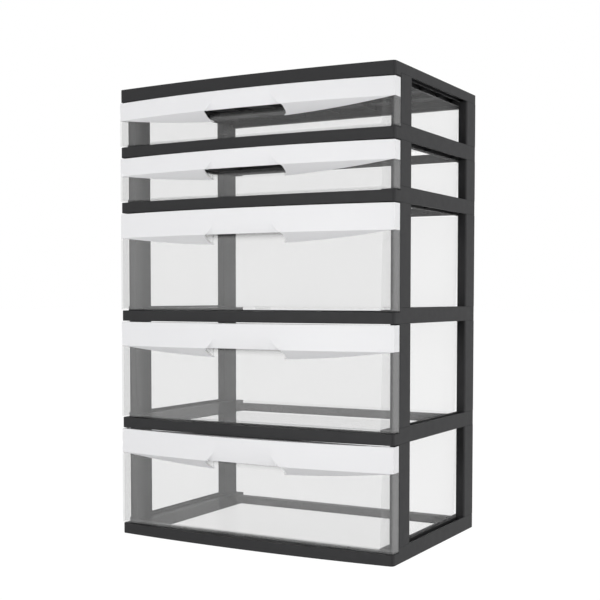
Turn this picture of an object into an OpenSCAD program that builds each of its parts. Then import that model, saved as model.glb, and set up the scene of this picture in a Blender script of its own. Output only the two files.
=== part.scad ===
// Plastic drawer tower: five clear drawers in an open frame of stacked
// shelf frames and corner posts. Millimetres, +Z up, drawers open towards -Y.
// The origin lies at the middle of the footprint, on the floor.

/* [Tower] */
// Overall width of the frame
tower_w = 580; // [440:1:700]
// Depth from the front faces of the posts to the back of the frame
side_depth = 366; // [300:1:460]
// Height of one deep tier, from one shelf frame's underside to the next
deep_pitch = 208; // [150:1:260]
// Height of one shallow tier
shallow_pitch = 106; // [84:1:140]

/* [Shelf frames] */
// Height of the front rails
front_rail_h = 20; // [18:1:26]
// Height of the runner ledges above the front rails
ledge_rise = 4; // [3:1:6]
// Height of the side rails above the runner ledges
guard_rise = 4; // [3:1:8]
// Width of the runner ledges, inwards from the posts
ledge_w = 18; // [10:1:30]
// Wall thickness of the rails, which are hollow below
rail_wall = 3; // [2:0.5:4]
// Height of the rear rails
rear_rail_h = 14; // [8:1:18]
// Height of the rear rails' underside above the side rails' underside
rear_rail_lift = 3; // [0:1:6]
// Depth of the rear rails, front to back
rear_rail_d = 18; // [10:1:26]
// How far the front rails stand in front of the posts at their ends
front_overhang = 22; // [12:1:30]
// How far the front rails bow out further at their middle
rail_bow = 14; // [4:1:24]
// Depth of the front rails behind the posts' front faces
front_rail_back = 6; // [0:1:20]
// Radius of the front corners in plan
front_corner_r = 6; // [4:1:12]
// Radius of the rear corners in plan
rear_corner_r = 6; // [2:1:10]
// Radius of the corners of the openings
opening_r = 12; // [4:1:20]

/* [Top] */
// Height of the top's front rim
top_front_h = 24; // [20:1:40]
// Height of the top's side rims
top_side_h = 18; // [16:1:19]
// Thickness of the top's plate
top_plate_t = 4; // [3:0.5:5]
// Depth of the shallow tray in the top's upper face
top_recess = 4; // [1:0.5:6]
// Width of the rim around that tray
top_rim_w = 14; // [8:1:24]

/* [Posts] */
// Thickness of the posts across the tower
post_t = 18; // [14:1:24]
// Width of the posts along the tower's side
post_d = 50; // [36:1:70]
// Radius of the posts' corners
post_r = 4; // [1:0.5:6]
// Wall thickness of the hollow posts
post_wall = 3; // [2:0.5:4]
// Length of the plugs at the posts' ends
plug_h = 9; // [5:1:11]
// Thickness of the plugs
plug_t = 9; // [6:1:10]
// Width of the plugs
plug_d = 36; // [20:1:36]
// Wall thickness of the plugs, which are open at their ends
plug_wall = 2; // [1.5:0.25:2.5]
// Gap between a plug and its socket, all round
plug_gap = 0.2; // [0.1:0.05:0.4]

/* [Drawers] */
// Gap above and below a drawer's front panel
panel_gap = 2; // [1:0.5:4]
// Gap between a closed drawer's front panel and the posts
seat_gap = 0.7; // [0.4:0.1:1.5]
// Gap between a drawer's tray and the posts
tray_side_gap = 1; // [0.6:0.1:3]
// Gap between a drawer's floor and its runner ledges
slide_gap = 0.3; // [0.2:0.1:1]
// Gap between a tray's top edge and the frame above it
tray_top_gap = 6; // [3:1:12]
// Gap between a tray and the back of the frame
tray_rear_gap = 14; // [8:1:30]
// Wall thickness of the trays
tray_wall = 2; // [1.6:0.1:3]
// Wall thickness of the front panels
panel_wall = 2.5; // [2:0.1:4]
// Radius of a tray's rear corners
tray_r = 22; // [10:1:40]
// Height of the grip band on a deep drawer
deep_band_h = 47; // [34:1:60]
// Height of the grip band on a shallow drawer
shallow_band_h = 34; // [28:1:40]
// How far the grip bands stand in front of the panels at their ends
band_step = 1; // [0.5:0.1:3]
// How far the grip bands bow out further at their middle
band_bow = 25; // [14:1:36]
// Slope of the grip bands' undersides, in degrees below level
band_slope = 36; // [20:1:45]
// Width of the finger notch under a grip band
notch_w = 164; // [100:1:220]
// Height of the finger gap between a band's lower edge and the lip behind it
finger_gap = 7; // [5:1:10]
// How far a drawer slides out until its stops meet the front rail
travel = 270; // [180:1:280]
// Width of the stops under a drawer's floor
stop_w = 36; // [20:1:60]
// Thickness of the stops
stop_t = 3; // [2:0.5:6]
// Distance of the stops from the tower's middle plane
stop_x = 150; // [60:1:180]
// How far the stops hang below the top of the front rail
stop_overlap = 4; // [2:0.5:8]
// Gap between the stops and the front rail at full travel
stop_gap = 0.5; // [0.3:0.1:1]

/* [Hidden] */

frame_colour = "#454547";
drawer_colour = "#e2e4e6";
cut = 1; // how far cutting shapes run past the faces that they open
arc_fn = 360;
round_fn = 64;

// Tiers are numbered from the floor up: three deep ones, then two shallow ones.
tiers = 5;
deep_tiers = 3;
function is_deep(i) = i < deep_tiers;
function pitch(i) = is_deep(i) ? deep_pitch : shallow_pitch;
// Underside of the shelf frame that carries tier i, counted from 0
function floor_z(i) = i == 0 ? 0 : floor_z(i - 1) + pitch(i - 1);
top_z = floor_z(tiers); // underside of the top's front rim
tower_h = top_z + top_front_h;
// Underside of the side rail or side rim above tier i
function side_under(i) = i == tiers - 1 ? tower_h - top_side_h : floor_z(i + 1);

ledge_h = front_rail_h + ledge_rise;
side_rail_h = ledge_h + guard_rise;

half_w = tower_w / 2;
band_reach = band_step + band_bow;
notch_h = band_reach * tan(band_slope) + panel_wall; // clears the band's sloped underside
front_reach = front_overhang + max(rail_bow, band_reach);
// The posts' front faces and the frame's back, measured from the footprint's middle
post_front = (front_reach - side_depth) / 2;
back = post_front + side_depth;
end_front = post_front - front_overhang;
rail_inner = post_front + front_rail_back;
rear_inner = back - rear_rail_d;
post_inner = half_w - post_t;
opening_x = post_inner - ledge_w;

// Radius of an arc that bows out by bow over the tower's width, and the Y of its
// centre where its ends stand step in front of the panels
function bow_radius(bow) = (half_w * half_w + bow * bow) / (2 * bow);
function bow_centre(bow, step = 0) = end_front - step - bow + bow_radius(bow);

post_middle_x = half_w - post_t / 2;
post_middle_front = post_front + post_d / 2;
post_middle_rear = back - post_d / 2;

tray_half = post_inner - tray_side_gap;
tray_back = back - tray_rear_gap;
tray_z = ledge_h + slide_gap; // a tray's underside above its shelf frame's underside
stop_front = rail_inner + travel + stop_gap;
stop_drop = tray_z - front_rail_h + stop_overlap;

module rounded_box_plan(x, y0, y1, r) {
  translate([-x, y0 + r]) square([2 * x, y1 - y0 - 2 * r]);
  translate([r - x, y0]) square([2 * (x - r), y1 - y0]);
  for (cx = [r - x, x - r], cy = [y0 + r, y1 - r])
    translate([cx, cy]) circle(r, $fn = round_fn);
}

// Plan of a front that bows out: the arc meets each side in a rounded corner.
module frame_plan() {
  radius = bow_radius(rail_bow);
  centre = bow_centre(rail_bow);
  corner_x = half_w - front_corner_r;
  reach = radius - front_corner_r;
  corner_y = centre - sqrt(reach * reach - corner_x * corner_x);
  lean = [corner_x / reach, (corner_y - centre) / reach];
  far = 3 * front_corner_r;
  difference() {
    intersection() {
      translate([0, centre]) circle(radius, $fn = 2 * arc_fn);
      translate([-half_w, end_front - rail_bow - cut])
        square([tower_w, back - end_front + rail_bow + cut]);
    }
    for (side = [-1, 1]) scale([side, 1]) {
      difference() {
        polygon([
          [corner_x, corner_y], [half_w + far, corner_y],
          [half_w + far, corner_y - far], [corner_x, corner_y] + far * lean
        ]);
        translate([corner_x, corner_y]) circle(front_corner_r, $fn = round_fn);
      }
      difference() {
        translate([half_w - rear_corner_r, back - rear_corner_r])
          square(rear_corner_r + cut);
        translate([half_w - rear_corner_r, back - rear_corner_r])
          circle(rear_corner_r, $fn = round_fn);
      }
    }
  }
}

// One prism at every post's place
module at_posts(z, h, t, d) {
  for (x = [-post_middle_x, post_middle_x], y = [post_middle_front, post_middle_rear])
    translate([x - t / 2, y - d / 2, z]) cube([t, d, h]);
}

module sockets(z, h) {
  at_posts(z, h, plug_t + 2 * plug_gap, plug_d + 2 * plug_gap);
}

// The plan without the strip in front of the posts and the strip at the back
module side_rail_plan() {
  intersection() {
    frame_plan();
    for (x = [-half_w, opening_x])
      translate([x, post_front]) square([half_w - opening_x, side_depth]);
  }
}

// Plan of the hollow under a front rail, which follows its bow
module front_hollow_plan() {
  intersection() {
    translate([0, bow_centre(rail_bow)])
      circle(bow_radius(rail_bow) - rail_wall, $fn = 2 * arc_fn);
    translate([-opening_x, end_front - rail_bow])
      square([2 * opening_x, front_overhang + rail_bow + front_rail_back - rail_wall]);
  }
}

// Plan of the hollows under the side rails: full length beside the opening, and
// under the whole rail between the posts
module side_hollow_plan() {
  for (side = [-1, 1]) scale([side, 1]) {
    translate([opening_x + rail_wall, rail_inner + rail_wall])
      square([ledge_w - rail_wall, rear_inner - rail_inner - 2 * rail_wall]);
    translate([opening_x + rail_wall, post_front + post_d])
      square([ledge_w + post_t - 2 * rail_wall, side_depth - 2 * post_d]);
  }
}

module rear_hollow_plan() {
  translate([-opening_x, rear_inner + rail_wall])
    square([2 * opening_x, rear_rail_d - 2 * rail_wall]);
}

// A hollow from below a rail's underside up to its top wall
module hollow(z, h) {
  translate([0, 0, z - cut]) linear_extrude(h - rail_wall + cut) children();
}

// A shelf frame: front rail, rear rail and two side rails with runner ledges
module shelf_frame(z, bottom_sockets) {
  color(frame_colour)
    translate([0, 0, z])
      difference() {
        union() {
          linear_extrude(front_rail_h)
            difference() {
              frame_plan();
              translate([-half_w - cut, rail_inner]) square([tower_w + 2 * cut, side_depth]);
            }
          linear_extrude(ledge_h) side_rail_plan();
          linear_extrude(side_rail_h)
            intersection() {
              side_rail_plan();
              for (x = [-half_w, post_inner])
                translate([x, post_front]) square([post_t, side_depth]);
            }
          translate([-opening_x - opening_r, rear_inner, rear_rail_lift])
            cube([2 * (opening_x + opening_r), rear_rail_d, rear_rail_h]);
          corner_webs();
        }
        sockets(side_rail_h - plug_h, plug_h + cut);
        if (bottom_sockets) sockets(-cut, plug_h + cut);
        hollow(0, front_rail_h) front_hollow_plan();
        hollow(0, ledge_h) side_hollow_plan();
        hollow(rear_rail_lift, rear_rail_h) rear_hollow_plan();
      }
}

// Webs that round the opening's four corners
module corner_webs() {
  for (side = [-1, 1]) scale([side, 1, 1]) {
    translate([opening_x - opening_r, rail_inner - cut, 0])
      linear_extrude(front_rail_h)
        difference() {
          square([opening_r + cut, opening_r + cut]);
          translate([0, opening_r + cut]) circle(opening_r, $fn = round_fn);
        }
    translate([opening_x - opening_r, rear_inner - opening_r, rear_rail_lift])
      linear_extrude(rear_rail_h)
        difference() {
          square([opening_r + cut, opening_r + cut]);
          circle(opening_r, $fn = round_fn);
        }
  }
}

// The top: a plate in a deep hollow rim, with a shallow tray in its upper face
module top_panel() {
  plate_under = tower_h - top_plate_t - top_recess;
  color(frame_colour)
    difference() {
      translate([0, 0, top_z]) linear_extrude(top_front_h) frame_plan();
      // room under the plate and inside the rim
      translate([0, 0, top_z - cut])
        linear_extrude(plate_under - top_z + cut) {
          rounded_box_plan(opening_x, rail_inner, rear_inner, opening_r);
          front_hollow_plan();
          side_hollow_plan();
          rear_hollow_plan();
        }
      // side rims end higher than the front rim
      translate([-half_w - cut, post_front, top_z - cut])
        cube([tower_w + 2 * cut, side_depth + cut, top_front_h - top_side_h + cut]);
      translate([0, 0, tower_h - top_recess])
        linear_extrude(top_recess + cut)
          rounded_box_plan(half_w - top_rim_w, post_front, back - top_rim_w, opening_r);
      sockets(tower_h - top_side_h - cut, plug_h + cut);
    }
}

// A hollow corner post of tier i, with a plug at each end
module post(i, side, rear) {
  z0 = floor_z(i) + side_rail_h;
  z1 = side_under(i);
  y = rear ? post_middle_rear : post_middle_front;
  color(frame_colour)
    translate([side * post_middle_x, y, 0])
      difference() {
        union() {
          translate([0, 0, z0])
            linear_extrude(z1 - z0)
              rounded_box_plan(post_t / 2, -post_d / 2, post_d / 2, post_r);
          centred_box(plug_t, plug_d, z0 - plug_h, z1 + plug_h);
        }
        centred_box(post_t - 2 * post_wall, post_d - 2 * post_wall, z0 + post_wall, z1 - post_wall);
        centred_box(plug_t - 2 * plug_wall, plug_d - 2 * plug_wall, z0 - plug_h - cut, z1 + plug_h + cut);
      }
}

module centred_box(t, d, z0, z1) {
  translate([-t / 2, -d / 2, z0]) cube([t, d, z1 - z0]);
}

// A full turn of a band's cross-section, from which a drawer's front keeps a short arc
module band_turn(inset, top, bottom) {
  radius = bow_radius(band_bow) - inset;
  inner = bow_radius(band_bow) - 3 * band_reach;
  drop = (radius - inner) * tan(band_slope);
  translate([0, bow_centre(band_bow, band_step), 0])
    rotate_extrude($fn = 2 * arc_fn)
      polygon([[radius, bottom], [radius, top], [inner, top], [inner, bottom - drop]]);
}

// The space in front of the posts, where a drawer's front lies
module front_space(inset, z0, z1, behind) {
  translate([-half_w + inset, end_front - band_reach - cut, z0])
    cube([tower_w - 2 * inset, front_overhang + band_reach + cut - behind, z1 - z0]);
}

// A drawer's front: a flat panel with a return all round, and a grip band that bows
// out above it and is hollow behind
module drawer_front(z0, z1, band_z) {
  difference() {
    union() {
      translate([-half_w, end_front, z0])
        cube([tower_w, front_overhang - seat_gap, z1 - z0]);
      intersection() {
        band_turn(0, z1, band_z);
        front_space(0, z0, z1, front_overhang);
      }
    }
    translate([-half_w + panel_wall, end_front + panel_wall, z0 + panel_wall])
      cube([tower_w - 2 * panel_wall, front_overhang, z1 - z0]);
    difference() {
      intersection() {
        band_turn(panel_wall, z1 + cut, band_z + panel_wall * tan(band_slope / 2));
        front_space(panel_wall, z0 + panel_wall, z1 + cut, -cut);
      }
      finger_rim(band_z);
    }
    // the notch under the band
    translate([-notch_w / 2, end_front - band_reach - cut, band_z - notch_h])
      cube([notch_w, band_reach + cut, notch_h]);
  }
}

// What bounds the finger gap: a lip in the panel's plane and a wall at each end
module finger_rim(band_z) {
  translate([-notch_w / 2, end_front, band_z - finger_gap - notch_h])
    cube([notch_w, panel_wall, notch_h]);
  for (x = [-notch_w / 2 - panel_wall, notch_w / 2])
    translate([x, end_front - band_reach, band_z - notch_h])
      cube([panel_wall, band_reach + panel_wall, notch_h]);
}

// A one-piece drawer in tier i
module drawer(i) {
  z0 = floor_z(i) + front_rail_h + panel_gap;
  z1 = floor_z(i + 1) - panel_gap;
  band_z = z1 - (is_deep(i) ? deep_band_h : shallow_band_h);
  tray_floor = floor_z(i) + tray_z;
  tray_top = floor_z(i + 1) - tray_top_gap;
  plate_back = end_front + panel_wall;
  color(drawer_colour, 0.5) {
    drawer_front(z0, z1, band_z);
    difference() {
      translate([0, 0, tray_floor])
        linear_extrude(tray_top - tray_floor) tray_plan(0, plate_back);
      translate([0, 0, tray_floor + tray_wall])
        linear_extrude(tray_top - tray_floor) tray_plan(tray_wall, plate_back - cut);
    }
    for (x = [-stop_x, stop_x])
      translate([x - stop_w / 2, stop_front, tray_floor - stop_drop])
        cube([stop_w, stop_t, stop_drop + tray_wall]);
  }
}

// A tray's plan: square where it meets the panel, rounded at the back
module tray_plan(inset, front) {
  x = tray_half - inset;
  y1 = tray_back - inset;
  r = tray_r - inset;
  translate([-x, front]) square([2 * x, y1 - front - r]);
  translate([r - x, front]) square([2 * (x - r), y1 - front]);
  for (cx = [r - x, x - r]) translate([cx, y1 - r]) circle(r, $fn = round_fn);
}

shelf_frame(floor_z(0), false);  // base_frame
shelf_frame(floor_z(1), true);  // shelf_frame_1
shelf_frame(floor_z(2), true);  // shelf_frame_2
shelf_frame(floor_z(3), true);  // shelf_frame_3
shelf_frame(floor_z(4), true);  // shelf_frame_4
top_panel();
post(0, -1, false);  // post_front_left_1
post(0, 1, false);  // post_front_right_1
post(0, -1, true);  // post_rear_left_1
post(0, 1, true);  // post_rear_right_1
post(1, -1, false);  // post_front_left_2
post(1, 1, false);  // post_front_right_2
post(1, -1, true);  // post_rear_left_2
post(1, 1, true);  // post_rear_right_2
post(2, -1, false);  // post_front_left_3
post(2, 1, false);  // post_front_right_3
post(2, -1, true);  // post_rear_left_3
post(2, 1, true);  // post_rear_right_3
post(3, -1, false);  // post_front_left_4
post(3, 1, false);  // post_front_right_4
post(3, -1, true);  // post_rear_left_4
post(3, 1, true);  // post_rear_right_4
post(4, -1, false);  // post_front_left_5
post(4, 1, false);  // post_front_right_5
post(4, -1, true);  // post_rear_left_5
post(4, 1, true);  // post_rear_right_5
drawer(0);  // drawer_1
drawer(1);  // drawer_2
drawer(2);  // drawer_3
drawer(3);  // drawer_4
drawer(4);  // drawer_5
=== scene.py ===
import math

import bmesh
import bpy
from mathutils import Matrix, Vector


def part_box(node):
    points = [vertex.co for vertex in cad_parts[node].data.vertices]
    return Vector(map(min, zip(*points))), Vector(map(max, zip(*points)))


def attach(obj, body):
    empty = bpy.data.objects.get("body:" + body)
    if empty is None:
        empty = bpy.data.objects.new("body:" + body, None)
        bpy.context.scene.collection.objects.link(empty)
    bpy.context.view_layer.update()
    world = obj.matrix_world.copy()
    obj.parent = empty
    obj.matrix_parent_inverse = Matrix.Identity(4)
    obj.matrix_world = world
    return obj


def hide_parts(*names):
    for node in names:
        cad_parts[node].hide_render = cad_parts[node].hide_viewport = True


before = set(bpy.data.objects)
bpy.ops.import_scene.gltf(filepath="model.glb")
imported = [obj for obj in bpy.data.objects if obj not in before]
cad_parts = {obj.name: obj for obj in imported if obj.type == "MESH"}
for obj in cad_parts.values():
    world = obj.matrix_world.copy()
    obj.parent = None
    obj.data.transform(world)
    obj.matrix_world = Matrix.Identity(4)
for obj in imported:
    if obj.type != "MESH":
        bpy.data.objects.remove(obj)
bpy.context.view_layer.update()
print("drawer tower: frame loaded")

# Metres throughout; +Z up, the drawers open towards -Y, left and right as seen from the front.

# tiers are counted from the floor up, and the deep ones come first
tiers = 5
deepTiers = 3

# places taken from the frame
baseLow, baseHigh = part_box("base_frame")
topLow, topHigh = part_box("top_panel")
postLow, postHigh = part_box("post_front_right_1")
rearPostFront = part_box("post_rear_right_1")[0].y
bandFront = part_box("drawer_1")[0].y
halfWidth = baseHigh.x
backY = baseHigh.y
railFront = baseLow.y
towerTop = topHigh.z
plugLength = 0.009  # how far a post reaches into what it carries
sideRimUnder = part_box("post_front_right_5")[1].z - plugLength
postFront = postLow.y
postInner = postLow.x
postDepth = postHigh.y - postLow.y
# the level at which each tier starts, and the top's lowest one
floors = [baseLow.z] + [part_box(f"shelf_frame_{i}")[0].z for i in range(1, tiers)] + [topLow.z]

# how closely places and directions are told apart
slack = 0.0002  # places this near to each other count as one
beyond = 0.0003  # and places this far past a plane count as behind it
mergeWithin = 0.00005
cutWithin = 0.00001
flatWithin = math.radians(0.05)
sharpFrom = math.radians(35)  # edges that turn more than this are softened, or shaded as edges
roughly = 0.9  # what a face's normal has at least along the way it faces
exactly = 0.999


def near(a, b, within=slack):
    return abs(a - b) < within


# modelling helpers
def takeUp(piece):
    bpy.ops.object.select_all(action="DESELECT")
    piece.select_set(True)
    bpy.context.view_layer.objects.active = piece


def applyPlace(piece):
    takeUp(piece)
    bpy.ops.object.transform_apply(location=True, rotation=True, scale=True)


def openMesh(piece):
    takeUp(piece)
    bpy.ops.object.mode_set(mode="EDIT")
    bpy.ops.mesh.select_mode(type="FACE")
    bpy.ops.mesh.select_all(action="DESELECT")


def closeMesh(merged=False):
    bpy.ops.mesh.select_all(action="SELECT")
    bpy.ops.mesh.remove_doubles(threshold=mergeWithin)
    bpy.ops.mesh.normals_make_consistent(inside=False)
    if merged:
        bpy.ops.mesh.dissolve_limited(angle_limit=flatWithin)
    bpy.ops.object.mode_set(mode="OBJECT")


def pick(kind, test):
    # selects the vertices, edges or faces that pass the test, and nothing else
    bpy.ops.mesh.select_mode(type=kind)
    bpy.ops.mesh.select_all(action="DESELECT")
    data = bpy.context.edit_object.data
    mesh = bmesh.from_edit_mesh(data)
    mesh.normal_update()
    parts = {"VERT": mesh.verts, "EDGE": mesh.edges, "FACE": mesh.faces}[kind]
    found = [part for part in parts if test(part)]
    for part in found:
        part.select_set(True)
    bmesh.update_edit_mesh(data, loop_triangles=False, destructive=False)
    return len(found)


def middle(part):
    # the middle of a face or an edge
    if isinstance(part, bmesh.types.BMEdge):
        return (part.verts[0].co + part.verts[1].co) / 2
    return part.calc_center_median()


def isVertical(edge):
    a, b = (v.co for v in edge.verts)
    return near(a.x, b.x) and near(a.y, b.y) and not near(a.z, b.z)


def isAlong(edge, axis, level):
    # both ends of the edge lie at this level of the axis: 1 for y, 2 for z
    return all(near(v.co[axis], level) for v in edge.verts)


def facesUp(face, least=roughly):
    return face.normal.z > least


def facesDown(face, least=roughly):
    return face.normal.z < -least


def extrude(y=0.0, z=0.0):
    bpy.ops.mesh.extrude_region_move(TRANSFORM_OT_translate={"value": (0, y, z)})


def cut(place, direction, clearOuter=False):
    # cuts what is selected with a plane; what lies in front of it can be cleared
    bpy.ops.mesh.bisect(plane_co=place, plane_no=direction, clear_outer=clearOuter,
                        threshold=cutWithin)


def cutFaces(test, place, direction, clearOuter=False):
    if pick("FACE", test):
        cut(place, direction, clearOuter)


def roundCorners(kind, test, radius, segments):
    if pick("EDGE" if kind == "EDGES" else "VERT", test):
        bpy.ops.mesh.bevel(offset=radius, offset_type="OFFSET", segments=segments, affect=kind,
                           clamp_overlap=False, loop_slide=True)


def addModifier(piece, kind, **settings):
    takeUp(piece)
    bpy.ops.object.modifier_add(type=kind)
    made = piece.modifiers[-1]
    for name, value in settings.items():
        setattr(made, name, value)
    bpy.ops.object.modifier_apply(modifier=made.name)


def softenEdges(piece, width, segments=2):
    # a small round on every sharp edge
    addModifier(piece, "BEVEL", width=width, segments=segments, limit_method="ANGLE",
                angle_limit=sharpFrom, use_clamp_overlap=False)


def softenOuterEdges(width, isOuter, segments=2):
    # a small round on the sharp edges that stand proud, in edit mode
    def isSharp(e):
        return e.is_contiguous and e.is_convex and e.calc_face_angle(0) > sharpFrom

    if pick("EDGE", lambda e: isSharp(e) and isOuter(middle(e))):
        bpy.ops.mesh.bevel(offset=width, offset_type="OFFSET", segments=segments, affect="EDGES",
                           clamp_overlap=False)


def shadeFlatFaces(piece, pull=60):
    # smooth shading that keeps flat faces flat and sharp edges sharp
    takeUp(piece)
    bpy.ops.object.shade_smooth_by_angle(angle=sharpFrom)
    addModifier(piece, "WEIGHTED_NORMAL", mode="FACE_AREA", weight=pull, keep_sharp=True)


def addBlock(name, low, high):
    size = Vector(high) - Vector(low)
    bpy.ops.object.select_all(action="DESELECT")
    bpy.ops.mesh.primitive_cube_add(size=1, location=(Vector(high) + Vector(low)) / 2, scale=size)
    piece = bpy.context.active_object
    piece.name = name
    applyPlace(piece)
    return piece


def arcOf(bow, ends):
    # radius and centre of a front that bows out over the full width
    radius = (halfWidth ** 2 + bow ** 2) / (2 * bow)
    return radius, ends - bow + radius


def addArc(name, bow, ends, z, spacing, filled, rear):
    # a wide circle cut down to the tower's width; filled, it is the plan of a moulding
    radius, centreY = arcOf(bow, ends)
    # a multiple of four, so that a point lies at the middle of the front
    count = 4 * round(math.tau * radius / spacing / 4)
    bpy.ops.object.select_all(action="DESELECT")
    bpy.ops.mesh.primitive_circle_add(vertices=count, radius=radius, location=(0, centreY, z),
                                      fill_type="NGON" if filled else "NOTHING")
    piece = bpy.context.active_object
    piece.name = name
    applyPlace(piece)
    openMesh(piece)
    for side in (1, -1):
        bpy.ops.mesh.select_all(action="SELECT")
        cut((side * halfWidth, 0, 0), (side, 0, 0), clearOuter=True)
    bpy.ops.mesh.select_all(action="SELECT")
    cut((0, rear, 0), (0, 1, 0), clearOuter=True)
    return piece


def hollowOut(isUnderside, level, wall, recess, depth, ribs, ribWidth):
    # hollows a moulding from below, inside a wall all round, and leaves ribs across the hollow;
    # each rib is (axis, place, test of where it runs), and ends above the wall's foot by the recess
    pick("FACE", lambda f: facesDown(f, exactly) and near(middle(f).z, level)
         and isUnderside(middle(f)))
    bpy.ops.mesh.inset(thickness=wall, use_boundary=True, use_even_offset=True)
    extrude(z=recess)

    def isInner(f):
        return facesDown(f) and near(middle(f).z, level + recess) and isUnderside(middle(f))

    for axis, place, runs in ribs:
        for side in (-1, 1):
            point = Vector((0, 0, 0))
            point[axis] = place + side * ribWidth / 2
            direction = Vector((0, 0, 0))
            direction[axis] = 1
            cutFaces(lambda f: isInner(f) and runs(middle(f)), point, direction)

    def inRib(p):
        return any(abs(p[axis] - place) < ribWidth / 2 and runs(p) for axis, place, runs in ribs)

    pick("FACE", lambda f: isInner(f) and not inRib(middle(f)))
    extrude(z=depth - recess)


def copyPiece(original, name, rise):
    takeUp(original)
    bpy.ops.object.duplicate(linked=False)
    piece = bpy.context.active_object
    piece.name = name
    bpy.ops.transform.translate(value=(0, 0, rise))
    applyPlace(piece)
    return piece


def joinPieces(main, others):
    takeUp(main)
    for other in others:
        other.select_set(True)
    bpy.ops.object.join()
    return main


# finishes
class Wire:
    # a socket that can stand in a sum; each operator adds its Math node
    def __init__(self, tree, socket=None):
        self.tree = tree
        self.socket = socket

    def node(self, kind, settings, inputs, output=0):
        made = self.tree.nodes.new(kind)
        for name, value in settings.items():
            setattr(made, name, value)
        for name, value in inputs.items():
            if isinstance(value, Wire):
                self.tree.links.new(value.socket, made.inputs[name])
            else:
                made.inputs[name].default_value = value
        return Wire(self.tree, made.outputs[output])

    def sum(self, operation, left, right):
        return self.node("ShaderNodeMath", {"operation": operation}, {0: left, 1: right})

    def __add__(self, other):
        return self.sum("ADD", self, other)

    def __sub__(self, other):
        return self.sum("SUBTRACT", self, other)

    def __rsub__(self, other):
        return self.sum("SUBTRACT", other, self)

    def __mul__(self, other):
        return self.sum("MULTIPLY", self, other)

    def __pow__(self, other):
        return self.sum("POWER", self, other)

    __radd__ = __add__
    __rmul__ = __mul__


def startFinish(name):
    made = bpy.data.materials.new(name)
    made.use_nodes = True
    made.node_tree.nodes.clear()
    return made, Wire(made.node_tree)


def endFinish(surface, kind="ShaderNodeOutputMaterial"):
    output = surface.tree.nodes.new(kind)
    surface.tree.links.new(surface.socket, output.inputs["Surface"])


noiseMiddle = 0.5  # what a noise gives on average


def noise(place, perMetre, detail, roughness=0.5):
    return place.node("ShaderNodeTexNoise", {}, {
        "Vector": place, "Scale": perMetre, "Detail": detail, "Roughness": roughness}, "Fac")


def bumps(height, strength, depth):
    return height.node("ShaderNodeBump", {}, {
        "Strength": strength, "Distance": depth, "Height": height}, "Normal")


def mixColours(share, first, second):
    # a Mix node's colours go in at its sockets 6 and 7 and come out at 2
    return share.node("ShaderNodeMix", {"data_type": "RGBA"}, {
        "Factor": share, 6: first, 7: second}, 2)


def growth(value, start, end):
    # from 0 at the start to 1 at the end
    return value.node("ShaderNodeMapRange", {}, {
        "Value": value, "From Min": start, "From Max": end}, "Result")


frameFinish = {
    "dark": (0.015, 0.015, 0.016, 1),
    "light": (0.021, 0.021, 0.0222, 1),
    "cloudsPerMetre": 7,
    "cloudShare": 0.7,
    "grainPerMetre": 1400,
    "grainShare": 0.3,
    "grainDepth": 0.00006,
    "grainStrength": 0.35,
    "scuffsPerMetre": 60,
    "scuffChange": 0.18,
    "scuffRoughness": 0.7,
    "roughness": 0.6,
    "specular": 0.24,
}


def makeFramePlastic():
    material, wire = startFinish("framePlastic")
    place = wire.node("ShaderNodeTexCoord", {}, {}, "Object")
    clouds = noise(place, frameFinish["cloudsPerMetre"], detail=3)
    grain = noise(place, frameFinish["grainPerMetre"], detail=2)
    scuffs = noise(place, frameFinish["scuffsPerMetre"], detail=6,
                   roughness=frameFinish["scuffRoughness"])
    share = clouds * frameFinish["cloudShare"] + grain * frameFinish["grainShare"]
    change = (scuffs - noiseMiddle) * frameFinish["scuffChange"]
    surface = wire.node("ShaderNodeBsdfPrincipled", {}, {
        "Base Color": mixColours(share, frameFinish["dark"], frameFinish["light"]),
        "Roughness": frameFinish["roughness"] + change,
        "Specular IOR Level": frameFinish["specular"],
        "Normal": bumps(grain, frameFinish["grainStrength"], frameFinish["grainDepth"])})
    endFinish(surface)
    return material


# what the two clear finishes share
clearFinish = {
    "body": (0.90, 0.90, 0.90, 1),
    "roughness": 0.08,
    "facingBlend": 0.35,
    "edgeFalloff": 3,
    "flowPerMetre": 5,  # slow changes, from how the plastic filled its mould
    "flowVeil": 0.02,
    "flowRoughness": 0.06,
    "flowStrength": 0.12,
    "flowDepth": 0.002,
}
panelFinish = {
    "pass": (0.935, 0.935, 0.935, 1),
    # the panels' veil, with painted shade: the two upper panels get less, so that they and what
    # lies behind them look darker
    "veilsAndShade": (0.085, 0.085, 0.085, 0.07, 0.045),  # from the lowest drawer up
    "edge": 0.15,  # more veil where a wall is seen from its side
    # painted light: more veil towards the ends of a front, so that they look paler
    "rightHaze": 0.07,
    "rightHazeFrom": 0.2862,
    "rightHazeTo": 0.2876,
    "leftHaze": 0.022,
    "leftHazeFrom": -0.236,
    "leftHazeTo": -0.250,
    # painted shadow: a darker, less clear strip below the lip's edge, for the shade under the band
    "shade": 0.30,
    "shadeDepth": 0.017,
    "shadeFalloff": 1.6,
    "shadeFade": 0.003,
    "shadeTint": 5,
    "shadeColour": (0.03, 0.03, 0.03, 1),
}
trayFinish = {
    "pass": (0.977, 0.977, 0.977, 1),
    "veil": 0.038,
    "edge": 0.12,
}


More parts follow.
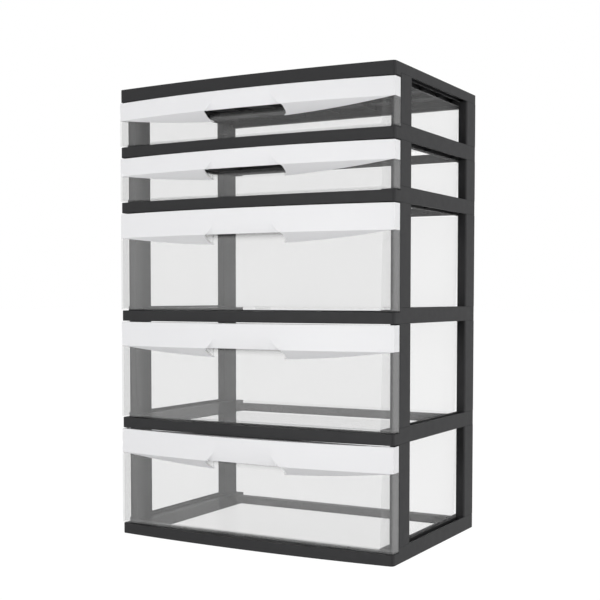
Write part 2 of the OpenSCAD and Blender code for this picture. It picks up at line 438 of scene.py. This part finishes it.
def makeClearPlastic(name, finish, veil, lipEnd=0.0, lipZ=None):
    # a thin wall: mostly see-through, with a share of pale plastic that veils what is behind it
    material, wire = startFinish(name)
    place = wire.node("ShaderNodeTexCoord", {}, {}, "Object")
    flow = noise(place, clearFinish["flowPerMetre"], detail=2)
    facing = wire.node("ShaderNodeLayerWeight", {}, {"Blend": clearFinish["facingBlend"]}, "Facing")
    edge = (facing ** clearFinish["edgeFalloff"]) * finish["edge"]
    share = veil + (flow - noiseMiddle) * clearFinish["flowVeil"] + edge
    colour = clearFinish["body"]
    if lipZ is not None:
        across = wire.node("ShaderNodeSeparateXYZ", {}, {"Vector": place}, "X")
        rise = wire.node("ShaderNodeSeparateXYZ", {}, {"Vector": place}, "Z")
        span = wire.node("ShaderNodeMath", {"operation": "ABSOLUTE"}, {0: across})
        # painted light: the front's ends get more veil, so that they look paler
        paintedEndLight = 0
        for side in ("right", "left"):
            end = growth(across, finish[f"{side}HazeFrom"], finish[f"{side}HazeTo"])
            paintedEndLight = end * finish[f"{side}Haze"] + paintedEndLight
        # painted shadow: a dark strip below the lip's edge, fading downwards and at the lip's ends;
        # it darkens the colour and adds to the veil
        inside = growth(span, lipEnd, lipEnd - finish["shadeFade"])
        below = growth(rise, lipZ - finish["shadeDepth"], lipZ)
        shade = (below ** finish["shadeFalloff"]) * inside * finish["shade"]
        share = share + paintedEndLight + shade
        colour = mixColours(shade * finish["shadeTint"], colour, finish["shadeColour"])
    seeThrough = wire.node("ShaderNodeBsdfTransparent", {}, {"Color": finish["pass"]})
    body = wire.node("ShaderNodeBsdfPrincipled", {}, {
        "Base Color": colour,
        "Roughness": clearFinish["roughness"] + flow * clearFinish["flowRoughness"],
        "Normal": bumps(flow, clearFinish["flowStrength"], clearFinish["flowDepth"])})
    endFinish(wire.node("ShaderNodeMixShader", {}, {0: share, 1: seeThrough, 2: body}))
    return material


bandFinish = {
    "dark": (0.80, 0.80, 0.815, 1),
    "light": (0.85, 0.85, 0.862, 1),
    "cloudsPerMetre": 6,
    "cloudShare": 0.6,
    "frostPerMetre": 2200,
    "frostShare": 0.4,
    "frostDepth": 0.00004,
    "frostStrength": 0.25,
    "frostRoughness": 0.12,
    "roughness": 0.42,
    "specular": 0.4,
}


def makeBandPlastic():
    material, wire = startFinish("bandPlastic")
    place = wire.node("ShaderNodeTexCoord", {}, {}, "Object")
    clouds = noise(place, bandFinish["cloudsPerMetre"], detail=2)
    frost = noise(place, bandFinish["frostPerMetre"], detail=1)
    share = clouds * bandFinish["cloudShare"] + frost * bandFinish["frostShare"]
    surface = wire.node("ShaderNodeBsdfPrincipled", {}, {
        "Base Color": mixColours(share, bandFinish["dark"], bandFinish["light"]),
        "Roughness": bandFinish["roughness"] + frost * bandFinish["frostRoughness"],
        "Specular IOR Level": bandFinish["specular"],
        "Normal": bumps(frost, bandFinish["frostStrength"], bandFinish["frostDepth"])})
    endFinish(surface)
    return material


framePlastic = makeFramePlastic()
trayPlastic = makeClearPlastic("clearTrayPlastic", trayFinish, trayFinish["veil"])
bandPlastic = makeBandPlastic()
print("drawer tower: finishes made")


def finishPiece(piece, body, finish, slotName, *nodes):
    piece.data.materials.clear()
    piece.data.materials.append(finish)
    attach(piece, body)
    if nodes:
        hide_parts(*nodes)


# shelf frames
rails = {
    "bow": 0.014,  # how far the front rails bow out at their middle
    "frontHeight": 0.020,
    "ledgeRise": 0.004,
    "guardRise": 0.004,
    "rearLift": 0.002,
    "rearHeight": 0.016,
    "rearDepth": 0.018,
    "behindPosts": 0.006,  # depth of the front rails behind the posts' front faces
    "ledgeWidth": 0.018,
    "frontCorner": 0.006,
    "rearCorner": 0.006,
    "openingCorner": 0.012,
    "wall": 0.003,
    "grooveDepth": 0.008,
    "ribWidth": 0.0018,
    "ribRecess": 0.0022,
    "rearRibRecess": 0.0018,
    "frontRibs": (-0.210, -0.140, 0.140, 0.210),  # x of the ribs across the front rail
    "sideRibs": (-0.109, 0.024, 0.157),  # y of those across the side rails
    "rearRibs": (-0.210, -0.140, -0.070, 0.0, 0.070, 0.140, 0.210),
    "soft": 0.0008,
    "facetSpacing": 0.0154,  # leaves a facet at each end that is longer than the corner
    "frontFacets": 6,
    "rearFacets": 5,
}
endFront = railFront + rails["bow"]
railInner = postFront + rails["behindPosts"]
rearInner = backY - rails["rearDepth"]
openingX = postInner - rails["ledgeWidth"]


def roundOuterCorners(kind, isCorner):
    # rounds the two rear and the two front corners of a plan, or of a moulding
    for y, radius, facets in ((backY, rails["rearCorner"], rails["rearFacets"]),
                              (endFront, rails["frontCorner"], rails["frontFacets"])):
        roundCorners(kind, lambda part: isCorner(part, y), radius, facets)


def makeShelfFrame(name, floorZ):
    low = floorZ + rails["rearLift"]
    high = low + rails["rearHeight"]
    piece = addArc(name, rails["bow"], endFront, low, rails["facetSpacing"], True, backY)
    roundOuterCorners("VERTICES", lambda v, y: near(abs(v.co.x), halfWidth) and near(v.co.y, y))
    # the opening, with round corners, is left out of the plan
    centre = (0, (railInner + rearInner) / 2, low)
    bpy.ops.mesh.primitive_plane_add(size=1, location=centre)
    bpy.ops.transform.resize(value=(2 * openingX, rearInner - railInner, 1), center_override=centre)
    bpy.ops.mesh.select_mode(type="VERT")
    bpy.ops.mesh.bevel(offset=rails["openingCorner"], segments=rails["frontFacets"],
                       affect="VERTICES", clamp_overlap=False)
    bpy.ops.mesh.select_mode(type="EDGE")
    bpy.ops.mesh.select_all(action="SELECT")
    bpy.ops.mesh.delete(type="ONLY_FACE")
    bpy.ops.mesh.select_all(action="SELECT")
    bpy.ops.mesh.fill(use_beauty=True)
    bpy.ops.mesh.select_all(action="SELECT")
    bpy.ops.mesh.dissolve_limited(angle_limit=flatWithin)
    bpy.ops.mesh.select_mode(type="FACE")
    bpy.ops.mesh.select_all(action="SELECT")
    extrude(z=rails["rearHeight"])
    bpy.ops.mesh.select_all(action="SELECT")
    bpy.ops.mesh.normals_make_consistent(inside=False)
    rearStart = rearInner - rails["openingCorner"]
    for place in (-postInner, -openingX, openingX, postInner):
        bpy.ops.mesh.select_all(action="SELECT")
        cut((place, 0, 0), (1, 0, 0))
    for place in (postFront, rearStart):
        bpy.ops.mesh.select_all(action="SELECT")
        cut((0, place, 0), (0, 1, 0))

    def isRear(p):
        return abs(p.x) < openingX and p.y > rearStart

    def isSide(p):
        return abs(p.x) > openingX and p.y > postFront

    def isTop(f, level):
        return facesUp(f) and near(middle(f).z, level)

    frontTop = floorZ + rails["frontHeight"]
    pick("FACE", lambda f: isTop(f, high) and not isRear(middle(f)))
    extrude(z=frontTop - high)
    pick("FACE", lambda f: facesDown(f) and near(middle(f).z, low) and not isRear(middle(f)))
    extrude(z=floorZ - low)
    pick("FACE", lambda f: isTop(f, frontTop) and isSide(middle(f)))
    extrude(z=rails["ledgeRise"])
    ledgeTop = frontTop + rails["ledgeRise"]
    pick("FACE", lambda f: isTop(f, ledgeTop) and abs(middle(f).x) > postInner)
    extrude(z=rails["guardRise"])
    closeMesh(merged=True)
    openMesh(piece)

    def isOuter(p):
        # the edges that run into the opening's round corners stay sharp
        inside = abs(p.x) < openingX - slack and p.y > postFront - slack
        onOpening = near(abs(p.x), openingX) and (p.z < frontTop - slack or near(p.y, backY))
        return not inside and not onOpening

    softenOuterEdges(rails["soft"], isOuter)
    ribs = [(0, x, lambda p: abs(p.x) < openingX) for x in rails["frontRibs"]]
    ribs += [(1, y, lambda p: abs(p.x) > openingX) for y in rails["sideRibs"]]
    hollowOut(lambda p: not isRear(p), floorZ, rails["wall"], rails["ribRecess"],
              rails["frontHeight"] - rails["wall"], ribs, rails["ribWidth"])
    # the rear rail is hollow between the opening's round corners
    rearRibs = [(0, x, lambda p: True) for x in rails["rearRibs"]]
    straight = openingX - rails["openingCorner"]
    for side in (-1, 1):
        cutFaces(lambda f: facesDown(f, exactly) and near(middle(f).z, low) and isRear(middle(f)),
                 (side * straight, 0, 0), (1, 0, 0))
    hollowOut(lambda p: isRear(p) and abs(p.x) < straight, low, rails["wall"],
              rails["rearRibRecess"], rails["rearHeight"] - rails["wall"], rearRibs,
              rails["ribWidth"])
    # a groove along the top of each side rail, between the posts
    guardTop = ledgeTop + rails["guardRise"]
    grooveEnds = (postFront + postDepth + rails["wall"], rearPostFront - rails["wall"])
    for place in grooveEnds:
        cutFaces(lambda f: isTop(f, guardTop), (0, place, 0), (0, 1, 0))
    pick("FACE", lambda f: isTop(f, guardTop) and facesUp(f, exactly)
         and grooveEnds[0] < middle(f).y < grooveEnds[1])
    bpy.ops.mesh.inset(thickness=rails["wall"] - rails["soft"], use_boundary=True,
                       use_even_offset=True)
    extrude(z=-rails["grooveDepth"])
    closeMesh()
    shadeFlatFaces(piece)
    return piece


firstShelf = makeShelfFrame("base_frame_moulding", floors[0])
finishPiece(firstShelf, "frame", framePlastic, "frame_plastic", "base_frame")
for i in range(1, tiers):
    shelf = copyPiece(firstShelf, f"shelf_frame_{i}_moulding", floors[i])
    finishPiece(shelf, "frame", framePlastic, "frame_plastic", f"shelf_frame_{i}")
print("drawer tower: shelf frames moulded")


# top
topRim = {
    "rimWidth": 0.014,
    "recess": 0.004,
    "plate": 0.004,
    "recessCorner": 0.012,
    # where the recess's corners are looked for: from the tower's ends, and beside the rim's edge
    "cornerReach": 0.02,
    "cornerSlack": 0.001,
    "skirtDrop": 0.0065,  # the rear skirt hangs below the side rims
    "skirtDepth": 0.012,
    "ribRecess": 0.002,
    "ribSpacing": 0.082,
    # places of the ribs, counted in spacings
    "frontRibs": (-2, 2, -3, 3),
    "acrossRibs": (-3, -2, -1, 0, 1, 2, 3),
    "alongRibs": (-2, -1, 0, 1, 2),
    "alongMiddle": 0.02,  # y of the middle one
    "soft": 0.001,
}


def makeTop():
    piece = addArc("top_panel_moulding", rails["bow"], endFront, sideRimUnder,
                   rails["facetSpacing"], True, backY)
    bpy.ops.mesh.select_mode(type="FACE")
    bpy.ops.mesh.select_all(action="SELECT")
    extrude(z=towerTop - sideRimUnder)
    bpy.ops.mesh.select_all(action="SELECT")
    bpy.ops.mesh.normals_make_consistent(inside=False)
    pick("FACE", facesUp)
    bpy.ops.mesh.inset(thickness=topRim["rimWidth"], use_even_offset=True)
    extrude(z=-topRim["recess"])
    # the front rim and the rear skirt hang lower than the rest
    skirtY = backY - topRim["skirtDepth"]
    for place in (postFront, skirtY):
        cutFaces(facesDown, (0, place, 0), (0, 1, 0))
    for side in (-1, 1):
        cutFaces(lambda f: facesDown(f) and middle(f).y > skirtY,
                 (side * postInner, 0, 0), (1, 0, 0))
    pick("FACE", lambda f: facesDown(f) and middle(f).y < postFront)
    extrude(z=floors[-1] - sideRimUnder)
    pick("FACE", lambda f: facesDown(f) and middle(f).y > skirtY and abs(middle(f).x) < postInner)
    extrude(z=-topRim["skirtDrop"])

    def isOuterCorner(edge, y):
        place = middle(edge)
        return isVertical(edge) and near(abs(place.x), halfWidth) and near(place.y, y)

    def isRecessCorner(edge):
        place = middle(edge)
        reach = topRim["cornerReach"]
        atSide = near(abs(place.x), halfWidth - topRim["rimWidth"], topRim["cornerSlack"])
        atEnd = place.y > backY - reach or place.y < endFront + reach
        return isVertical(edge) and atSide and atEnd and place.z > towerTop - topRim["recess"]

    roundOuterCorners("EDGES", isOuterCorner)
    roundCorners("EDGES", isRecessCorner, topRim["recessCorner"], rails["frontFacets"])
    closeMesh(merged=True)
    openMesh(piece)
    softenOuterEdges(topRim["soft"], lambda p: True)
    plateUnder = towerTop - topRim["recess"] - topRim["plate"]
    spacing = topRim["ribSpacing"]
    front = [(0, k * spacing, lambda p: True) for k in topRim["frontRibs"]]
    hollowOut(lambda p: p.y < postFront, floors[-1], rails["wall"], topRim["ribRecess"],
              plateUnder - floors[-1], front, rails["ribWidth"])
    # the side rims have no ribs
    for side in (-1, 1):
        cutFaces(lambda f: facesDown(f, exactly) and near(middle(f).z, sideRimUnder),
                 (side * postInner, 0, 0), (1, 0, 0))
    ribs = [(0, k * spacing, lambda p: abs(p.x) < postInner) for k in topRim["acrossRibs"]]
    ribs += [(0, side * (postInner - rails["ribWidth"]), lambda p: True) for side in (-1, 1)]
    ribs += [(1, topRim["alongMiddle"] + k * spacing, lambda p: abs(p.x) < postInner)
             for k in topRim["alongRibs"]]
    hollowOut(lambda p: True, sideRimUnder, rails["wall"], topRim["ribRecess"],
              plateUnder - sideRimUnder, ribs, rails["ribWidth"])
    closeMesh()
    shadeFlatFaces(piece)
    return piece


finishPiece(makeTop(), "frame", framePlastic, "frame_plastic", "top_panel")
print("drawer tower: top moulded")


# posts
posts = {
    "outerFront": 0.0045,  # radius of the outer front edge
    "outerRear": 0.005,
    "inner": 0.0015,
    "soft": 0.0005,
    "facets": 6,
    "innerFacets": 3,
}


def makePost(name, side, low, high):
    piece = addBlock(name, low, high)
    openMesh(piece)

    def isOuter(edge, y):
        place = middle(edge)
        return isVertical(edge) and near(place.x, side * halfWidth) and near(place.y, y)

    def isInner(edge):
        return isVertical(edge) and near(abs(middle(edge).x), postInner)

    roundCorners("EDGES", lambda e: isOuter(e, low[1]), posts["outerFront"], posts["facets"])
    roundCorners("EDGES", lambda e: isOuter(e, high[1]), posts["outerRear"], posts["facets"])
    roundCorners("EDGES", isInner, posts["inner"], posts["innerFacets"])
    closeMesh()
    softenEdges(piece, posts["soft"])
    shadeFlatFaces(piece)
    return piece


sideRailTop = rails["frontHeight"] + rails["ledgeRise"] + rails["guardRise"]
for row, rowFront in (("front", postFront), ("rear", rearPostFront)):
    for sideName, side in (("left", -1), ("right", 1)):
        inner, outer = sorted((side * postInner, side * halfWidth))
        models = {}  # one post of each height, and where it stands
        for i in range(tiers):
            low = floors[i] + sideRailTop
            high = sideRimUnder if i == tiers - 1 else floors[i + 1]
            name = f"post_{row}_{sideName}_{i + 1}"
            height = round(high - low, 4)
            if height in models:
                original, originalLow = models[height]
                post = copyPiece(original, name + "_tube", low - originalLow)
            else:
                post = makePost(name + "_tube", side, (inner, rowFront, low),
                                (outer, rowFront + postDepth, high))
                models[height] = (post, low)
            finishPiece(post, "frame", framePlastic, "frame_plastic", name)
print("drawer tower: posts made")


# drawers
fronts = {
    "gap": 0.002,  # above and below a front
    "rimBack": 0.003,  # how far the band's top rim reaches behind the panel's face
    "deepBand": 0.046,
    "shallowBand": 0.033,
    "slope": math.radians(36),
    "returnGap": 0.0007,
    "wall": 0.0022,
    "facetSpacing": 0.0128,
    "notchHalf": 0.082,
    "notchCorner": 0.006,  # radius beside the band's lower edge
    "notchFoot": 0.010,  # radius where the notch meets the panel
    "notchTurns": (20, 45, 70),  # the facets of both rounds, in degrees
    "lipRise": 0.002,  # how far the lip reaches above the band's edge
    "shallowLipRise": -0.003,  # on shallow drawers it ends below it
    "lipReach": 0.026,  # how far the lip runs on past the notch's ends
    "scoopHeight": 0.019,
    "scoopTopHalf": 0.058,
    "scoopDepth": 0.0065,
    "scoopSide": 0.005,
    "soft": 0.0006,
}
trays = {
    "floorGap": 0.0003,  # above the runner ledges
    "topGap": 0.0015,
    "sideGap": 0.001,
    "rearGap": 0.014,
    "panelLap": 0.0003,  # how far the walls reach into the panel
    "draft": 0.004,
    "rearCorner": 0.022,
    "rearFacets": 8,
    "floorCorner": 0.006,
    "floorFacets": 3,
    "wall": 0.002,
    "rim": 0.0014,  # how far the rim stands out from the walls
    "rimDrop": 0.0026,
    "pad": 0.0008,  # how much the floor rises inside its edge strip
    "padInset": 0.012,
    "stopX": 0.150,
    "stopWidth": 0.036,
    "stopDepth": 0.003,
    "stopY": 0.1175,
    "stopDrop": 0.0083,
}
bandBow = endFront - bandFront


def notchCorners(notch):
    # planes that leave a round in each corner of the notch
    radius, centreY = arcOf(bandBow, endFront)
    frontY = centreY - math.sqrt(radius ** 2 - notch ** 2)
    rounds = ((fronts["notchCorner"], frontY, -1), (fronts["notchFoot"], endFront, 1))
    planes = []
    for side in (-1, 1):
        for turn in fronts["notchTurns"]:
            across = side * math.cos(math.radians(turn))
            along = math.sin(math.radians(turn))
            for size, y, sign in rounds:
                direction = Vector((across, sign * along, 0))
                centre = Vector((side * (notch - size), y - sign * size, 0))
                planes.append((centre + direction * size, direction))
    return planes


def bandUnder(i):
    # the height of a band's lower edge
    height = fronts["deepBand"] if i < deepTiers else fronts["shallowBand"]
    return floors[i + 1] - fronts["gap"] - height


def lipTop(i):
    return bandUnder(i) + (fronts["lipRise"] if i < deepTiers else fronts["shallowLipRise"])


def makeFront(name, i):
    # one surface from the band's top edge down to the panel's foot, then parted in two
    low = floors[i] + rails["frontHeight"] + fronts["gap"]
    high = floors[i + 1] - fronts["gap"]
    bandZ = bandUnder(i)
    returnDepth = postFront - fronts["returnGap"] - endFront
    band = addArc(name, bandBow, endFront, high, fronts["facetSpacing"], False, endFront)
    bpy.ops.mesh.select_mode(type="EDGE")
    bpy.ops.mesh.select_all(action="SELECT")
    extrude(z=bandZ - high)
    # the sloped underside runs on behind the panel's plane and is cut there
    pick("EDGE", lambda e: isAlong(e, 2, bandZ))
    runOn = 0.02
    reach = bandBow + runOn
    extrude(y=reach, z=-reach * math.tan(fronts["slope"]))
    cutFaces(lambda f: middle(f).z < bandZ - beyond, (0, endFront, 0), (0, 1, 0), clearOuter=True)
    bpy.ops.mesh.select_all(action="SELECT")
    bpy.ops.mesh.remove_doubles(threshold=slack)

    def isSlope(f):
        return middle(f).z < bandZ - beyond and middle(f).y < endFront - beyond

    notch = fronts["notchHalf"]
    for place in (-notch, notch):
        cutFaces(isSlope, (place, 0, 0), (1, 0, 0))
    corners = notchCorners(notch)
    for place, direction in corners:
        cutFaces(lambda f: isSlope(f) and abs(middle(f).x) < notch, place, direction)
    # the scoop over the notch: its sides lean in towards its top
    scoopTop = bandZ + fronts["scoopHeight"]
    cutFaces(lambda f: middle(f).z > bandZ + beyond, (0, 0, scoopTop), (0, 0, 1))
    lean = (notch - fronts["scoopTopHalf"]) / fronts["scoopHeight"]
    for side in (-1, 1):
        for inside in (0, fronts["scoopSide"]):
            cutFaces(lambda f: bandZ < middle(f).z < scoopTop,
                     (side * (notch - inside), 0, bandZ), (side, 0, lean))
    foot = notch - fronts["scoopSide"]
    pick("VERT", lambda v: near(v.co.z, bandZ) and abs(v.co.x) < foot + beyond)
    bpy.ops.transform.translate(value=(0, fronts["scoopDepth"], 0))
    # the flat panel below the slope
    pick("EDGE", lambda e: isAlong(e, 1, endFront) and not isVertical(e)
         and all(v.co.z < bandZ + beyond for v in e.verts))
    extrude(z=low - bandZ)
    bpy.ops.transform.resize(value=(1, 1, 0), center_override=(0, 0, low))

    # the notch is open as far back as the panel's lip
    def isNotch(f):
        past = any((middle(f) - place).dot(direction) > 0 for place, direction in corners)
        return isSlope(f) and abs(middle(f).x) < notch and not past

    pick("FACE", isNotch)
    bpy.ops.mesh.delete(type="FACE")
    # a rim closes the band's top
    pick("EDGE", lambda e: isAlong(e, 2, high))
    extrude(z=0.0)
    bpy.ops.transform.resize(value=(1, 0, 1), center_override=(0, endFront + fronts["rimBack"], 0))
    # returns round the front's sides and foot
    pick("EDGE", lambda e: isVertical(e) and near(abs(middle(e).x), halfWidth))
    extrude(y=returnDepth)
    pick("EDGE", lambda e: isAlong(e, 2, low) and isAlong(e, 1, endFront))
    extrude(y=returnDepth)
    bpy.ops.mesh.select_all(action="SELECT")
    bpy.ops.mesh.remove_doubles(threshold=slack)
    bpy.ops.mesh.normals_make_consistent(inside=False)
    pick("FACE", lambda f: middle(f).z < bandZ and middle(f).y > endFront - beyond)
    bpy.ops.mesh.separate(type="SELECTED")
    bpy.ops.object.mode_set(mode="OBJECT")
    panel = [o for o in bpy.context.selected_objects if o != band][0]
    # a lip of the panel closes the back of the notch and carries the painted shadow below the
    # band's edge
    openMesh(panel)
    pick("VERT", lambda v: near(v.co.y, endFront) and low + beyond < v.co.z < bandZ
         and abs(v.co.x) < notch + fronts["lipReach"])
    bpy.ops.transform.resize(value=(1, 1, 0), center_override=(0, 0, lipTop(i)))
    bpy.ops.object.mode_set(mode="OBJECT")
    return band, panel


def turnOut(piece, axis):
    # turns an open surface so that its outer side faces down the axis: 1 for a front, 2 for a tray
    openMesh(piece)
    bpy.ops.mesh.select_all(action="SELECT")
    bpy.ops.mesh.normals_make_consistent(inside=False)
    mesh = bmesh.from_edit_mesh(bpy.context.edit_object.data)
    if sum(f.normal[axis] * f.calc_area() for f in mesh.faces) > 0:
        bpy.ops.mesh.flip_normals()
    bpy.ops.object.mode_set(mode="OBJECT")


def trayFloor(i):
    return floors[i] + rails["frontHeight"] + rails["ledgeRise"] + trays["floorGap"]


def makeTray(name, i):
    floorZ = trayFloor(i)
    top = floors[i + 1] - trays["topGap"]
    half = postInner - trays["sideGap"] - trays["rim"]
    rear = backY - trays["rearGap"] - trays["rim"]
    front = endFront + fronts["wall"] - trays["panelLap"]
    piece = addBlock(name, (-half, front, floorZ), (half, rear, top))
    openMesh(piece)
    pick("FACE", lambda f: facesUp(f) or f.normal.y < -roughly)
    bpy.ops.mesh.delete(type="FACE")
    roundCorners("EDGES", lambda e: isVertical(e) and near(middle(e).y, rear),
                 trays["rearCorner"], trays["rearFacets"])
    # the walls lean in towards the floor
    pick("VERT", lambda v: near(v.co.z, floorZ))
    narrow = (half - trays["draft"]) / half
    shorter = (rear - trays["draft"] - front) / (rear - front)
    bpy.ops.transform.resize(value=(narrow, shorter, 1), center_override=(0, front, 0))
    roundCorners("EDGES", lambda e: isAlong(e, 2, floorZ) and not near(middle(e).y, front),
                 trays["floorCorner"], trays["floorFacets"])
    pick("FACE", lambda f: facesUp(f, exactly) or facesDown(f, exactly))
    bpy.ops.mesh.inset(thickness=trays["padInset"], use_boundary=True)
    extrude(z=trays["pad"])
    rimUnder = top - trays["rimDrop"]
    bpy.ops.mesh.select_all(action="SELECT")
    cut((0, 0, rimUnder), (0, 0, 1))
    bpy.ops.object.mode_set(mode="OBJECT")
    turnOut(piece, 2)
    addModifier(piece, "SOLIDIFY", thickness=trays["wall"], offset=-1, use_even_offset=False)

    # a rim stands out round the top of the side walls and the rear one
    def isRim(f):
        turnedOut = f.normal.x * middle(f).x > slack or f.normal.y > slack
        return middle(f).z > rimUnder and not facesUp(f) and turnedOut

    openMesh(piece)
    pick("FACE", isRim)
    bpy.ops.mesh.extrude_region_shrink_fatten(TRANSFORM_OT_shrink_fatten={"value": trays["rim"]})
    bpy.ops.object.mode_set(mode="OBJECT")
    return piece


def makeStop(name, x, floorZ):
    # reaches into the tray's floor, so that it hangs on it
    low = (x - trays["stopWidth"] / 2, trays["stopY"], floorZ - trays["stopDrop"])
    high = (x + trays["stopWidth"] / 2, trays["stopY"] + trays["stopDepth"],
            floorZ + trays["pad"] + trays["wall"] / 2)
    return addBlock(name, low, high)


def makeDrawer(i):
    body = f"drawer_{i + 1}"
    band, panel = makeFront(body + "_band", i)
    for front in (band, panel):
        turnOut(front, 1)
        addModifier(front, "SOLIDIFY", thickness=fronts["wall"], offset=-1, use_even_offset=True)
    softenEdges(band, fronts["soft"])
    shadeFlatFaces(band)
    panel.name = body + "_panel"
    tray = makeTray(body + "_tray", i)
    stops = [makeStop(body + "_stop", side * trays["stopX"], trayFloor(i)) for side in (-1, 1)]
    tub = joinPieces(tray, stops)
    tub.name = body + "_tub"
    lipEnd = fronts["notchHalf"] + fronts["lipReach"]
    panelPlastic = makeClearPlastic(f"clearPanelPlastic_{i + 1}", panelFinish,
                                    panelFinish["veilsAndShade"][i], lipEnd, lipTop(i))
    finishPiece(tub, body, trayPlastic, "clear_plastic", body)
    finishPiece(panel, body, panelPlastic, "clear_plastic")
    finishPiece(band, body, bandPlastic, "band_plastic")


for i in range(tiers):
    makeDrawer(i)
print("drawer tower: drawers moulded")


# studio
studio = {
    "floorSize": 60.0,
    "white": (1, 1, 1, 1),
    "floorColour": (0.86, 0.86, 0.86, 1),
    "floorGlow": 0.90,
    "floorWhite": 1.085,
    "worldLight": 0.42,
    "key": {"place": (-0.3, -3.2, 0.3), "size": 0.8, "power": 52},
    "side": {"place": (3.4, 0.3, 0.4), "size": 1.6, "power": 64},
    "aim": (0.0, 0.0, 0.42),
}


def seenRays(wire):
    # 1 for what the camera sees, also in a reflection or through glass
    path = wire.node("ShaderNodeLightPath", {}, {}, "Is Camera Ray")
    outputs = path.socket.node.outputs
    return (path + Wire(wire.tree, outputs["Is Glossy Ray"])
            + Wire(wire.tree, outputs["Is Transmission Ray"]))


def makeFloor():
    bpy.ops.object.select_all(action="DESELECT")
    bpy.ops.mesh.primitive_plane_add(size=studio["floorSize"], location=(0, 0, 0))
    floor = bpy.context.active_object
    floor.name = "floor"
    material, wire = startFinish("paleFloor")
    diffuse = wire.node("ShaderNodeBsdfDiffuse", {}, {"Color": studio["floorColour"]})
    glow = wire.node("ShaderNodeEmission", {}, {
        "Color": studio["white"], "Strength": studio["floorWhite"]})
    share = seenRays(wire) * studio["floorGlow"]
    endFinish(wire.node("ShaderNodeMixShader", {}, {0: share, 1: diffuse, 2: glow}))
    floor.data.materials.append(material)


def makeWorld():
    world = bpy.data.worlds.new("studio")
    bpy.context.scene.world = world
    world.use_nodes = True
    world.node_tree.nodes.clear()
    wire = Wire(world.node_tree)
    strength = seenRays(wire) * (1 - studio["worldLight"]) + studio["worldLight"]
    back = wire.node("ShaderNodeBackground", {}, {"Color": studio["white"], "Strength": strength})
    endFinish(back, "ShaderNodeOutputWorld")


def makeLamp(name, lamp):
    bpy.ops.object.light_add(type="AREA", location=lamp["place"])
    light = bpy.context.active_object
    light.name = name
    light.data.shape = "SQUARE"
    light.data.size = lamp["size"]
    light.data.energy = lamp["power"]
    aim = Vector(studio["aim"]) - Vector(lamp["place"])
    light.rotation_euler = aim.to_track_quat("-Z", "Y").to_euler()


makeFloor()
makeWorld()
makeLamp("keyLamp", studio["key"])
makeLamp("sideLamp", studio["side"])

# the camera's place and turns, in metres and degrees
view = {
    "place": (1.0712, -1.9182, 0.4615),
    "heading": 29.034,
    "pitch": -2.764,
    "roll": 0.025,
    "lens": 67.195,
    "rise": 0.0857,  # the picture's shift, which keeps the posts upright
    "farthest": 100,
}
bpy.ops.object.camera_add(location=view["place"])
camera = bpy.context.active_object
camera.name = "camera"
camera.data.lens = view["lens"]
camera.data.shift_y = view["rise"]
camera.data.clip_end = view["farthest"]
turn = (Matrix.Rotation(math.radians(view["heading"]), 4, "Z")
        @ Matrix.Rotation(math.radians(90 + view["pitch"]), 4, "X")
        @ Matrix.Rotation(math.radians(view["roll"]), 4, "Z"))
camera.rotation_euler = turn.to_euler()
scene = bpy.context.scene
scene.camera = camera
scene.view_settings.view_transform = "Standard"
scene.cycles.transparent_max_bounces = 32  # many clear walls lie behind each other
print("drawer tower: studio set")
